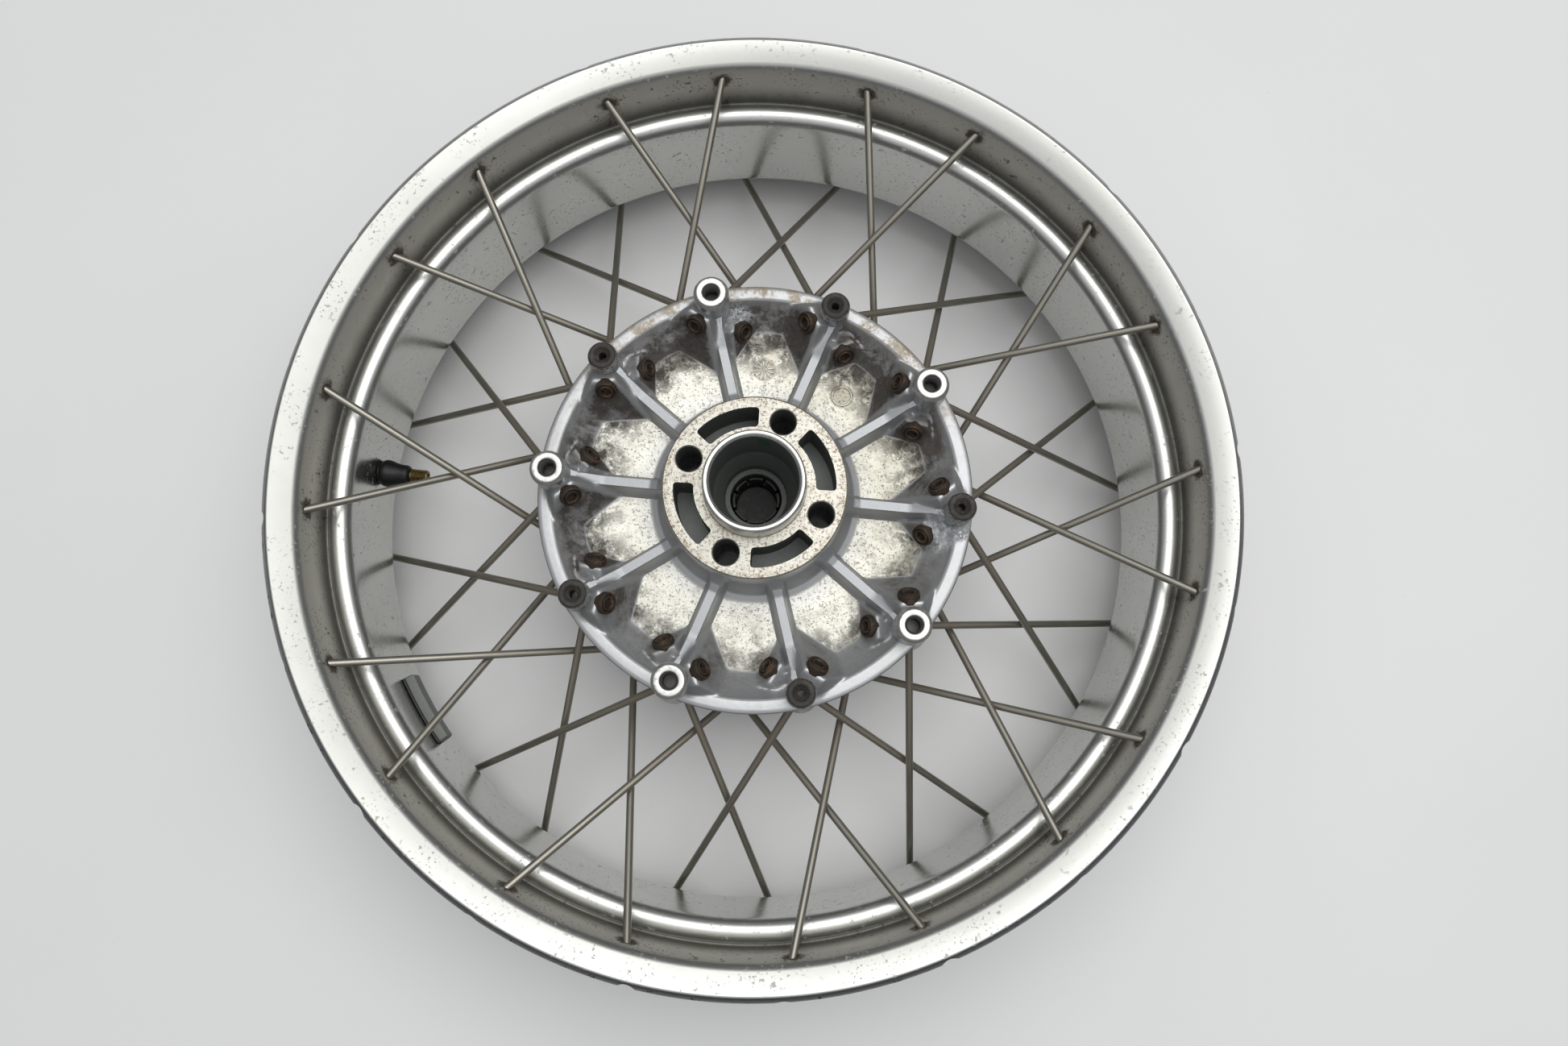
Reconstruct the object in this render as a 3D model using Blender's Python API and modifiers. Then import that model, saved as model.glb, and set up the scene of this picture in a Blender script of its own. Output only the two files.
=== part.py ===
"""Spoked rear wheel for a motorcycle: a rim with two outer lips, a ribbed hub casting, forty
crossed straight spokes, a snap-in valve, a centre cap, boss inserts and a balance weight.

The wheel lies flat: its axle runs along +Z, the side that bolts to the final drive faces up,
and the origin is on the axle at the level of the rim's lower lip.
"""

import math

import bmesh
import bpy
from mathutils import Matrix, Vector

MM = 0.001
GAP = 0.3                      # clearance between touching pieces, mm

# Rim, mm. Heights are from the rim's middle plane, which is RIM_HALF above the lower lip.
RIM_HALF = 65.7
RIM_OUTER_R = 232.6
LIP_EDGE_R = 229.2
LIP_INNER_R = 217.5
BARREL_R = 202.8
WELL_R = 206.8
BEAD_SEAT_R = 218.3
BEAD_HALF_WIDTH = 50.8
RIM_STEPS = 60

# Hub, mm, heights from the lower lip.
HUB_R = 107.5
HUB_TOP = 106.8
HUB_BOTTOM = 33.0
POCKET_FLOOR = 94.0
FLANGE_R = 44.7
FLANGE_TOP = 124.2
PILOT_R = 24.5
PILOT_TOP = 139.2
BORE_R = 21.0
CAP_BORE_R = 13.0
WEB_BOTTOM = 82.0
CENTRE_BOTTOM = 72.0
WHEEL_BOLT_CIRCLE_R = 34.5
WHEEL_BOLT_HOLE_R = 6.3
WHEEL_BOLT_ANGLE = 66.8
BOSS_CIRCLE_R = 100.0
BOSS_ANGLE = 102.7
BOSS_PITCH = 36.0
BRIGHT_BOSS_R, BRIGHT_BOSS_TOP, BRIGHT_BOSS_HOLE_R = 8.5, 124.5, 4.1
DARK_BOSS_R, DARK_BOSS_TOP, DARK_BOSS_HOLE_R = 7.2, 120.8, 5.4
BOSS_HOLE_DEPTH = 10.0
RIB_WIDTH = 4.9
HUB_STEPS = 40

# Spokes, mm: shaft, head in the rim's lip, adjuster in the hub.
SHAFT_R = 1.7
HEAD_R, HEAD_FROM, HEAD_TO = 3.7, 12.0, 17.0
SLEEVE_R, SLEEVE_LENGTH = 3.6, 24.0
ADJUSTER_R, ADJUSTER_HEIGHT = 5.2, 4.6
SPOKE_RIM_R = 215.4
SPOKE_RIM_Z = 51.0
# For each family and hand: angle of the rim end from the boss, then radius, angle from the
# boss and height of the adjuster's seat.
SPOKES = {
    ("lower", 1): (25.9, 89.4, 7.2, 113.0),
    ("lower", -1): (25.9, 86.5, 7.3, 100.5),
    ("upper", 1): (7.9, 86.5, 25.3, 49.0),
    ("upper", -1): (7.9, 89.4, 25.2, 38.0),
}

VALVE_ANGLE, VALVE_BELOW_MIDDLE = 174.3, 5.0
WEIGHT_ANGLE, WEIGHT_SPAN = 211.7, 10.8


def clear_scene():
    for obj in list(bpy.data.objects):
        bpy.data.objects.remove(obj, do_unlink=True)


def collection(name, helper=False):
    made = bpy.data.collections.new(name)
    bpy.context.scene.collection.children.link(made)
    made.hide_render = helper
    return made


def material(name, colour, metallic, roughness):
    made = bpy.data.materials.new(name)
    made.use_nodes = True
    shader = made.node_tree.nodes["Principled BSDF"]
    shader.inputs["Base Color"].default_value = (*colour, 1.0)
    shader.inputs["Metallic"].default_value = metallic
    shader.inputs["Roughness"].default_value = roughness
    made.diffuse_color = (*colour, 1.0)
    return made


def link(name, mesh, where, mat=None):
    obj = bpy.data.objects.new(name, mesh)
    where.objects.link(obj)
    if mat is not None:
        mesh.materials.append(mat)
    if where.hide_render:
        obj.hide_render = True
        obj.display_type = "WIRE"
    return obj


def turned(name, profile, steps, where, mat=None, frame=None):
    """A closed ring of (radius, height) points in mm, turned about the object's Z axis. Points
    on the axis close the shape there; the profile runs down its outer side."""
    mesh = bpy.data.meshes.new(name)
    points = [(r * MM, 0.0, z * MM) for r, z in profile]
    count = len(points)
    on_axis = profile[0][0] == 0.0 and profile[-1][0] == 0.0
    edges = [(i, (i + 1) % count) for i in range(count - on_axis)]
    mesh.from_pydata(points, edges, [])
    obj = link(name, mesh, where, mat)
    screw = obj.modifiers.new("turn", "SCREW")
    screw.axis = "Z"
    screw.steps = screw.render_steps = steps
    screw.use_merge_vertices = True
    screw.merge_threshold = 0.00001
    screw.use_smooth_shade = False
    if frame is not None:
        obj.matrix_world = frame
    return obj


def solid(name, points, faces, where, mat=None, frame=None):
    """A closed mesh from points in mm, its faces turned outward."""
    mesh = bpy.data.meshes.new(name)
    mesh.from_pydata([Vector(p) * MM for p in points], [], faces)
    built = bmesh.new()
    built.from_mesh(mesh)
    bmesh.ops.recalc_face_normals(built, faces=built.faces)
    built.to_mesh(mesh)
    built.free()
    obj = link(name, mesh, where, mat)
    if frame is not None:
        obj.matrix_world = frame
    return obj


def prism(name, outline, bottom, top, where, mat=None, frame=None):
    """An outline of (x, y) points in mm, raised from bottom to top along the object's Z."""
    count = len(outline)
    points = [(x, y, bottom) for x, y in outline] + [(x, y, top) for x, y in outline]
    sides = [(i, (i + 1) % count, (i + 1) % count + count, i + count) for i in range(count)]
    faces = sides + [tuple(range(count)), tuple(range(count, 2 * count))]
    return solid(name, points, faces, where, mat, frame)


def circle(radius, steps, centre=(0.0, 0.0)):
    turn = 2.0 * math.pi / steps
    return [(centre[0] + radius * math.cos((i + 0.5) * turn),
             centre[1] + radius * math.sin((i + 0.5) * turn)) for i in range(steps)]


def polar(radius, degrees, height=0.0):
    angle = math.radians(degrees)
    return Vector((radius * math.cos(angle), radius * math.sin(angle), height))


def turned_frame(degrees, radius=0.0, height=0.0):
    """A frame at this place round the axle, its X pointing away from the axle."""
    place = Matrix.Translation(polar(radius, degrees, height) * MM)
    return place @ Matrix.Rotation(math.radians(degrees), 4, "Z")


def along(start, direction):
    """A frame at start whose Z runs along direction and whose X is level."""
    up = direction.normalized()
    level = Vector((-up.y, up.x, 0.0)).normalized()
    side = up.cross(level)
    axes = Matrix((level, side, up)).transposed().to_4x4()
    return Matrix.Translation(start * MM) @ axes


def boolean(obj, operation, operand):
    modifier = obj.modifiers.new(operation.lower(), "BOOLEAN")
    modifier.solver = "EXACT"
    modifier.operation = operation
    if isinstance(operand, bpy.types.Collection):
        modifier.operand_type = "COLLECTION"
        modifier.collection = operand
    else:
        modifier.object = operand


def spoke_line(family, hand, boss):
    """The point where a spoke leaves the rim's lip and the seat of its adjuster, in mm."""
    rim_angle, seat_r, seat_angle, seat_z = SPOKES[family, hand]
    rim_z = RIM_HALF + (SPOKE_RIM_Z if family == "upper" else -SPOKE_RIM_Z)
    start = polar(SPOKE_RIM_R, boss - hand * rim_angle, rim_z)
    seat = polar(seat_r, boss + hand * seat_angle, seat_z)
    return start, seat


def all_spokes():
    for family in ("upper", "lower"):
        for number in range(10):
            for hand in (1, -1):
                index = 2 * number + (1 if hand == 1 else 2)
                line = spoke_line(family, hand, BOSS_ANGLE - BOSS_PITCH * number)
                yield f"spoke_{family}_{index:02d}", family, hand, line


def build_rim(where, mat):
    outer = [
        (LIP_EDGE_R, RIM_HALF), (RIM_OUTER_R, 62.3), (RIM_OUTER_R, 51.6),
        (BEAD_SEAT_R + 0.8, BEAD_HALF_WIDTH), (217.0, 36.0), (217.7, 32.0), (208.6, 21.0),
        (WELL_R, 17.5),
    ]
    inner = [
        (BARREL_R, 27.4), (204.2, 32.6), (207.2, 34.0), (210.8, 32.6), (212.6, 30.8),
        (216.6, 54.5), (LIP_INNER_R, 58.4), (219.6, 60.6),
    ]
    profile = outer + [(r, -z) for r, z in reversed(outer)]
    profile += [(r, -z) for r, z in reversed(inner)] + inner
    frame = Matrix.Translation((0.0, 0.0, RIM_HALF * MM))
    rim = turned("rim", profile, RIM_STEPS, where, mat, frame)
    cuts = collection("rim_cutters", helper=True)
    for name, _, _, (start, seat) in all_spokes():
        out = along(start, start - seat)
        prism("hole_" + name, circle(SHAFT_R + 0.6, 6), -16.0, HEAD_FROM + 1.0, cuts,
              frame=out)
        prism("seat_" + name, circle(HEAD_R + 0.92, 6), HEAD_FROM - GAP, 30.0, cuts, frame=out)
    inward = along(polar(BARREL_R, VALVE_ANGLE, RIM_HALF - VALVE_BELOW_MIDDLE), -polar(1.0, VALVE_ANGLE))
    prism("valve_hole", circle(6.1, 16), -12.0, 12.0, cuts, frame=inward)
    boolean(rim, "DIFFERENCE", cuts)


def drum_profile():
    """The hub's turned body in mm: pilot, flange, pocket floor, rim band, waist and underside."""
    low = HUB_BOTTOM
    return [
        (BORE_R + 1.2, PILOT_TOP), (PILOT_R - 0.6, PILOT_TOP), (PILOT_R, PILOT_TOP - 0.8),
        (PILOT_R, FLANGE_TOP), (FLANGE_R - 0.7, FLANGE_TOP), (FLANGE_R, FLANGE_TOP - 0.7),
        (FLANGE_R, 104.0), (52.0, POCKET_FLOOR), (86.4, POCKET_FLOOR),
        (89.5, 96.2), (95.5, 101.2), (101.6, HUB_TOP), (HUB_R - 0.7, HUB_TOP),
        (HUB_R, HUB_TOP - 0.7), (HUB_R, low - 0.5), (101.6, low - 0.5), (100.4, low + 6.0),
        (97.0, 74.0), (88.0, WEB_BOTTOM), (54.0, WEB_BOTTOM), (46.0, CENTRE_BOTTOM),
        (CAP_BORE_R, CENTRE_BOTTOM), (CAP_BORE_R, 92.0), (15.6, 92.0), (15.6, 99.0),
        (BORE_R - 1.4, 106.0), (BORE_R, 108.0), (BORE_R, PILOT_TOP - 1.4),
    ]


def rib(name, angle, crest, foot, where):
    """A flat rib standing in the plane of the axle: its crest is a line of (radius, height)
    points, and its foot is sunk to one level."""
    half = RIB_WIDTH / 2.0
    outline = crest + [(crest[-1][0], foot), (crest[0][0], foot)]
    count = len(outline)
    points = [(r, side, z) for side in (-half, half) for r, z in outline]
    sides = [(i, (i + 1) % count, (i + 1) % count + count, i + count) for i in range(count)]
    faces = sides + [tuple(range(count)), tuple(range(count, 2 * count))]
    solid(name, points, faces, where, frame=turned_frame(angle))


def build_hub(where, mat):
    hub = turned("hub", drum_profile(), HUB_STEPS, where, mat)
    adds = collection("hub_additions", helper=True)
    cuts = collection("hub_cutters", helper=True)
    low = HUB_BOTTOM
    for number in range(10):
        angle = BOSS_ANGLE - BOSS_PITCH * number
        bright = number % 2 == 0
        radius = BRIGHT_BOSS_R if bright else DARK_BOSS_R
        top = BRIGHT_BOSS_TOP if bright else DARK_BOSS_TOP
        hole = BRIGHT_BOSS_HOLE_R if bright else DARK_BOSS_HOLE_R
        frame = turned_frame(angle, BOSS_CIRCLE_R)
        turned(f"boss_{number}", [(0.0, top), (radius - 0.8, top), (radius, top - 0.8),
                                  (radius, 90.0), (0.0, 90.0)], 12, adds, frame=frame)
        prism(f"boss_hole_{number}", circle(hole, 12), top - BOSS_HOLE_DEPTH, top + 5.0, cuts,
              frame=frame)
        rib(f"rib_{number}", angle, [(41.0, 112.0), (51.0, 105.0), (76.0, 105.0), (97.0, 111.5)],
            88.0, adds)
        rib(f"rib_under_{number}", angle + BOSS_PITCH / 2.0,
            [(44.0, 66.0), (56.0, 58.0), (80.0, low + 10.0), (101.0, low + 1.5)], 87.0, adds)
    for name, family, _, (start, seat) in all_spokes():
        inward = along(seat, seat - start)
        deep = 26.0 if family == "lower" else 13.0
        side = 1.0 if family == "lower" else -1.0
        crown = [(8.0, 0.0), (4.0, 6.0 * side), (-4.0, 6.0 * side), (-8.0, 0.0)]
        if family == "upper":
            crown = [(7.5, 6.0 * side), (-7.5, 6.0 * side)]
        outline = crown + [(-7.5, -side * deep), (7.5, -side * deep)]
        prism("pad_" + name, outline, -24.0, -GAP, adds, frame=inward)
        prism("bore_" + name, circle(SLEEVE_R + 0.9, 6), -60.0, 3.0, cuts, frame=inward)
        prism("spot_" + name, circle(ADJUSTER_R + 1.2, 6), -GAP + 0.05, 10.0, cuts,
              frame=inward)
    for number in range(4):
        angle = WHEEL_BOLT_ANGLE + 90.0 * number
        frame = turned_frame(angle, WHEEL_BOLT_CIRCLE_R)
        prism(f"bolt_hole_{number}", circle(WHEEL_BOLT_HOLE_R, 16), 60.0, 130.0, cuts,
              frame=frame)
        prism(f"arc_pocket_{number}", arc_pocket(), 98.0, 130.0, cuts,
              frame=turned_frame(angle + 45.0))
    band = HUB_R - 0.4
    turned("waist", [
        (125.0, 105.2), (125.0, low - 9.0), (band, low - 9.0), (band, low + 10.0),
        (103.6, low + 19.0), (103.6, 88.0), (band, 97.0), (band, 105.2),
    ], HUB_STEPS, cuts)
    prism("underneath", circle(120.0, 12), 10.0, low, cuts)
    boolean(hub, "UNION", adds)
    boolean(hub, "DIFFERENCE", cuts)


def arc_pocket():
    """The outline in mm of a pocket between two wheel bolts: two arcs round the axle, joined by
    straight ends that point at it."""
    inner, outer, half = 29.8, 38.9, 24.3
    corners = [tuple(polar(outer, half * (i / 4.0 - 1.0))[:2]) for i in range(9)]
    return corners + [tuple(polar(inner, half * (1.0 - i / 4.0))[:2]) for i in range(9)]


def build_spokes(where, mat):
    for name, _, _, (start, seat) in all_spokes():
        length = (start - seat).length
        profile = [
            (0.0, ADJUSTER_HEIGHT), (ADJUSTER_R, ADJUSTER_HEIGHT), (ADJUSTER_R, GAP), (SLEEVE_R, GAP),
            (SLEEVE_R, -SLEEVE_LENGTH), (SHAFT_R, -SLEEVE_LENGTH), (SHAFT_R, -length - HEAD_FROM),
            (HEAD_R, -length - HEAD_FROM), (HEAD_R, -length - HEAD_TO),
            (0.0, -length - HEAD_TO),
        ]
        turned(name, profile, 8, where, mat, along(seat, seat - start))


def build_valve(where, rubber, brass, steel):
    """The valve's pieces share one axis, from the barrel's wall toward the axle."""
    frame = along(polar(BARREL_R, VALVE_ANGLE, RIM_HALF - VALVE_BELOW_MIDDLE), -polar(1.0, VALVE_ANGLE))
    turned("valve_body", [
        (2.9, 16.0), (4.5, 16.0), (5.4, 10.0), (6.8, 2.6), (6.8, 0.8), (5.7, 0.8),
        (5.7, -4.9), (8.2, -4.9), (7.2, -9.0), (4.0, -12.0), (2.9, -12.0),
    ], 16, where, rubber, frame)
    turned("valve_stem", [
        (2.1, 25.5), (3.3, 25.5), (3.7, 25.0), (3.7, 16.3), (2.6, 16.3), (2.6, -12.5),
        (2.1, -12.5),
    ], 16, where, brass, frame)
    turned("valve_core", [
        (0.8, 24.4), (1.3, 24.4), (1.3, 21.6), (1.8, 21.0), (1.8, 14.0), (0.8, 14.0),
    ], 10, where, brass, frame)
    turned("valve_core_pin", [
        (0.0, 24.9), (0.5, 24.9), (0.5, 13.7), (1.5, 13.7), (1.5, 11.6), (0.5, 11.6),
        (0.5, 5.0), (0.0, 5.0),
    ], 10, where, steel, frame)


def build_cap(where, mat):
    turned("centre_cap", [
        (10.6, 88.5), (12.0, 88.5), (12.4, 87.4), (12.4, 71.7), (17.5, 71.7), (17.5, 70.2),
        (15.5, 68.6), (0.0, 68.6), (0.0, 71.0), (10.6, 71.0),
    ], 32, where, mat)


def build_inserts(where, mat):
    for number in range(5):
        angle = BOSS_ANGLE - BOSS_PITCH * (2 * number + 1)
        turned(f"boss_insert_{number + 1}", [
            (1.8, DARK_BOSS_TOP + 1.2), (5.6, DARK_BOSS_TOP + 1.2), (6.4, DARK_BOSS_TOP + 0.6),
            (6.4, DARK_BOSS_TOP + GAP), (5.0, DARK_BOSS_TOP + GAP), (5.0, DARK_BOSS_TOP - 9.0),
            (1.8, DARK_BOSS_TOP - 9.0),
        ], 12, where, mat, turned_frame(angle, BOSS_CIRCLE_R))


def arc_bar(name, inner, outer, bottom, top, ease, where, mat):
    """A bar bent round the axle, centred on the weight's angle, its inner edges eased."""
    steps = 8
    section = [(outer, bottom), (inner + ease, bottom), (inner, bottom + ease),
               (inner, top - ease), (inner + ease, top), (outer, top)]
    points = []
    for i in range(steps + 1):
        angle = WEIGHT_ANGLE + WEIGHT_SPAN * (i / steps - 0.5)
        points += [tuple(polar(radius, angle, height)) for radius, height in section]
    count = len(section)
    faces = [tuple(range(count)), tuple(range(steps * count, (steps + 1) * count))]
    for i in range(steps):
        for j in range(count):
            a, b = i * count + j, i * count + (j + 1) % count
            faces.append((a, b, b + count, a + count))
    solid(name, points, faces, where, mat)


def build_weight(where, zinc, tape):
    mid = RIM_HALF - 1.0
    # The barrel is faceted, so the tape's back is kept clear of its flats.
    wall = BARREL_R * math.cos(math.pi / RIM_STEPS) - 0.3
    arc_bar("balance_weight_tape", wall - 0.8, wall, mid - 5.0, mid + 5.0, 0.1, where, tape)
    arc_bar("balance_weight", wall - 5.9, wall - 1.1, mid - 4.6, mid + 4.6, 1.0, where, zinc)


def main():
    clear_scene()
    wheel = collection("spoked_wheel")
    silver = material("silver painted alloy", (0.62, 0.63, 0.62), 0.6, 0.42)
    polished = material("polished rim alloy", (0.75, 0.75, 0.73), 0.9, 0.25)
    stainless = material("stainless spoke", (0.36, 0.34, 0.31), 0.9, 0.35)
    rusty = material("rusted steel", (0.13, 0.11, 0.10), 0.4, 0.7)
    black = material("black plastic", (0.02, 0.02, 0.02), 0.0, 0.5)
    rubber = material("black rubber", (0.03, 0.03, 0.03), 0.0, 0.75)
    brass = material("brass", (0.60, 0.47, 0.25), 1.0, 0.35)
    steel = material("bright steel", (0.5, 0.5, 0.5), 1.0, 0.3)
    zinc = material("zinc weight", (0.35, 0.36, 0.36), 0.7, 0.5)
    tape = material("grey foam tape", (0.12, 0.12, 0.12), 0.0, 0.9)
    build_rim(wheel, polished)
    build_hub(wheel, silver)
    build_spokes(wheel, stainless)
    build_valve(wheel, rubber, brass, steel)
    build_cap(wheel, black)
    build_inserts(wheel, rusty)
    build_weight(wheel, zinc, tape)


main()
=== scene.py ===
"""Looks of the spoked rear wheel: rim, ribbed hub, forty spokes with their adjusters, valve,
centre cap, boss inserts and balance weight, on a pale floor under soft light.

Lengths in this file are in millimetres until a mesh is made. Heights run from the rim's lower
lip along the axle, and angles run round the axle in degrees.
"""
import math

import bpy
import numpy as np
from mathutils import Matrix, Vector


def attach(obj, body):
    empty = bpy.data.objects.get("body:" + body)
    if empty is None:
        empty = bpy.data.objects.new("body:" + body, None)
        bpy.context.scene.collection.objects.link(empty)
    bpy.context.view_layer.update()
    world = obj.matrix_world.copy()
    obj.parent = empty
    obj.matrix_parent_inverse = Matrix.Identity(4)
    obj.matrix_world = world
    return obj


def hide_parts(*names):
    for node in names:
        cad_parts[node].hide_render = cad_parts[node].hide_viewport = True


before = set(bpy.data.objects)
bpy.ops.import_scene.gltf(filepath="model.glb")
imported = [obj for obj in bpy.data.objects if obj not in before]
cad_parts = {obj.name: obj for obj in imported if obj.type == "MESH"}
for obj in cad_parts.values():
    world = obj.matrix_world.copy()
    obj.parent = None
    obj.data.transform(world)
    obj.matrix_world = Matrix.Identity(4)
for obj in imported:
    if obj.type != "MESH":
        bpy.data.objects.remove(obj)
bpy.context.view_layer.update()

MM = 0.001

# Hub and spoke layout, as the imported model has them.
BOSS_COUNT, BOSS_ANGLE, BOSS_PITCH, BOSS_CIRCLE_R = 10, 102.7, 36.0, 100.0
RIM_MIDDLE = 65.7
SPOKE_RIM_R, SPOKE_RIM_Z = 215.4, 51.0
SPOKES = {
    ("lower", 1): (25.9, 89.4, 7.2, 113.0),
    ("lower", -1): (25.9, 86.5, 7.3, 100.5),
    ("upper", 1): (7.9, 86.5, 25.3, 49.0),
    ("upper", -1): (7.9, 89.4, 25.2, 38.0),
}
# How far behind each adjuster's seat its facet lies, along the spoke.
FACET_BACK = {("lower", 1): 2.2, ("lower", -1): -1.0, ("upper", 1): 0.2, ("upper", -1): 0.2}
SHAFT_R, SLEEVE_R = 1.9, 3.6
# Holes in the rim: round each spoke, round each spoke's head, and round the valve.
SPOKE_HOLE_R, HEAD_POCKET_R, VALVE_HOLE_R = 2.25, 4.3, 5.6
WHEEL_BOLT_ANGLE, WHEEL_BOLT_CIRCLE_R, WHEEL_BOLT_HOLE_R = 66.8, 34.5, 6.3
VALVE_ANGLE, VALVE_HEIGHT, BARREL_R = 174.3, RIM_MIDDLE - 5.0, 202.8
WEIGHT_ANGLE, WEIGHT_SPAN = 211.7, 10.8
DIAL_MARK, RING_MARK = (67.5, 86.5), (69.0, 50.5)  # Radius and angle of two cast marks.
FLOOR_Z = -0.4
DEGREE = math.pi / 180.0
CREASE = 40.0  # Edges of a turned piece sharper than this stay sharp.
RIM_STEPS, HUB_STEPS = 900, 240  # Round the whole rim, and round the hub's flange.
HUB = dict(instead=["hub"], slot="silver_alloy")
# A box whose corners are listed round its lower face and then round its upper one.
BOX_FACES = [[3, 2, 1, 0], [4, 5, 6, 7], [0, 1, 5, 4], [1, 2, 6, 5], [2, 3, 7, 6], [3, 0, 4, 7]]


# ---------------------------------------------------------------- shapes

def circle(radius, degrees):
    """x and y at a radius and an angle round the axle."""
    return radius * np.cos(np.radians(degrees)), radius * np.sin(np.radians(degrees))


def polar(radius, degrees, height=0.0):
    return np.array([*circle(radius, degrees), height], float)


def unit(vector):
    return np.asarray(vector, float) / np.linalg.norm(vector)


def smooth_step(low, high, x):
    """Zero at low, one at high, and 3t^2 - 2t^3 between."""
    t = np.clip((x - low) / (high - low), 0.0, 1.0)
    return t * t * (3.0 - 2.0 * t)


def smooth_max(a, b, width):
    """The larger of two heights, rounded where they meet: a parabola of this width is added
    where they differ by less than it."""
    h = np.clip(width - np.abs(a - b), 0.0, None) / width
    return np.maximum(a, b) + h * h * width * 0.25


def smooth_min(a, b, width):
    return -smooth_max(-a, -b, width)


def rounded(corners, steps=4, closed=True):
    """An outline with its corners rounded: each corner is (x, y, radius), and its arc is the
    quadratic curve from one tangent point to the other with the corner as its middle point."""
    points = []
    count = len(corners)
    for i, (x, y, radius) in enumerate(corners):
        here = np.array([x, y], float)
        if radius <= 0.0 or (not closed and i in (0, count - 1)):
            points.append(here)
            continue
        before = np.array(corners[i - 1][:2], float) - here
        after = np.array(corners[(i + 1) % count][:2], float) - here
        reach_b = min(radius, 0.49 * np.hypot(*before))
        reach_a = min(radius, 0.49 * np.hypot(*after))
        start = here + before / np.hypot(*before) * reach_b
        end = here + after / np.hypot(*after) * reach_a
        t = np.linspace(0.0, 1.0, steps + 1)[:, None]
        points.extend((1 - t) ** 2 * start + 2 * t * (1 - t) * here + t * t * end)
    return np.array(points)


def dense(outline, spacing, closed=False):
    """The same outline with points no further apart than the spacing."""
    ends = np.vstack([outline, outline[:1]]) if closed else outline
    runs = []
    for a, b in zip(ends[:-1], ends[1:]):
        n = max(1, int(math.ceil(np.hypot(*(b - a)) / spacing)))
        runs.append(a + (b - a) * (np.arange(n) / n)[:, None])
    if not closed:
        runs.append(ends[-1:])
    return np.vstack(runs)


def put(name, data):
    """A new object in the scene that shows this mesh, lamp or camera."""
    obj = bpy.data.objects.new(name, data)
    bpy.context.scene.collection.objects.link(obj)
    return obj


def add_piece(name, points, faces, finish, body="wheel", instead=(), slot=None, smooth=True,
              sharp=None):
    """A mesh object from points in millimetres, riding on a body and standing for CAD nodes."""
    mesh = bpy.data.meshes.new(name)
    points = np.asarray(points, float) * MM
    faces = [np.asarray(f) for f in faces]
    mesh.vertices.add(len(points))
    mesh.vertices.foreach_set("co", points.ravel())
    loops = np.concatenate([f.ravel() for f in faces])
    sizes = np.concatenate([np.full(len(f), f.shape[1]) for f in faces])
    mesh.loops.add(len(loops))
    mesh.loops.foreach_set("vertex_index", loops)
    mesh.polygons.add(len(sizes))
    mesh.polygons.foreach_set("loop_start", np.concatenate([[0], np.cumsum(sizes)[:-1]]))
    mesh.update(calc_edges=True)
    mesh.validate()
    mesh.polygons.foreach_set("use_smooth", np.full(len(mesh.polygons), smooth))
    if sharp is not None:
        mesh.set_sharp_from_angle(angle=math.radians(sharp))
    obj = put(name, mesh)
    mesh.materials.append(finish)
    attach(obj, body)
    if instead:
        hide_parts(*instead)
    return obj


def grid_faces(rows, columns, close_rows=False, close_columns=False):
    """Quads between neighbouring points of a grid laid out row by row."""
    r = np.arange(rows if close_rows else rows - 1)
    c = np.arange(columns if close_columns else columns - 1)
    r, c = np.meshgrid(r, c, indexing="ij")
    r2, c2 = (r + 1) % rows, (c + 1) % columns
    quads = np.stack([r * columns + c, r * columns + c2, r2 * columns + c2, r2 * columns + c], -1)
    return quads.reshape(-1, 4)


def lathe(profile, steps, origin=(0, 0, 0), axis=(0, 0, 1), wave=None, loop=False):
    """A profile of (radius, distance along the axis) turned about a line, as points and faces.
    Rows follow the profile, and the last joins the first in a loop. wave(row radii, row
    distances, angles) may change the radii."""
    profile = np.asarray(profile, float)
    axis = unit(axis)
    side = unit(np.cross(axis, (0.3, 0.2, 0.9) if abs(axis[2]) < 0.9 else (1.0, 0.0, 0.0)))
    other = np.cross(axis, side)
    turn = np.arange(steps) * 2 * np.pi / steps
    radius = np.repeat(profile[:, :1], steps, 1)
    height = np.repeat(profile[:, 1:], steps, 1)
    if wave is not None:
        radius = wave(radius, height, turn[None, :])
    points = (np.asarray(origin, float) + radius[..., None] * (
        np.cos(turn)[None, :, None] * side + np.sin(turn)[None, :, None] * other)
        + height[..., None] * axis)
    return points.reshape(-1, 3), grid_faces(len(profile), steps, loop, True)


def turned(name, profile, finish, steps, origin=(0, 0, 0), axis=(0, 0, 1), wave=None,
           loop=False, sharp=CREASE, **kind):
    """A turned piece. Its profile is a closed loop, or has its two ends capped by flat fans.
    Either way it is listed so that its outer side is followed in the axis's direction."""
    points, faces = lathe(profile, steps, origin, axis, wave, loop)
    if loop:
        return add_piece(name, points, [faces], finish, sharp=sharp, **kind)
    last = (len(profile) - 1) * steps
    ends = np.array([profile[0][1], profile[-1][1]])
    poles = np.asarray(origin, float) + ends[:, None] * unit(axis)
    points = np.vstack([points, poles])
    low, high = len(points) - 2, len(points) - 1
    fan = [[low, (c + 1) % steps, c] for c in range(steps)]
    fan += [[high, last + c, last + (c + 1) % steps] for c in range(steps)]
    return add_piece(name, points, [faces, np.array(fan)], finish, sharp=sharp, **kind)


# ---------------------------------------------------------------- shader maths

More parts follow.
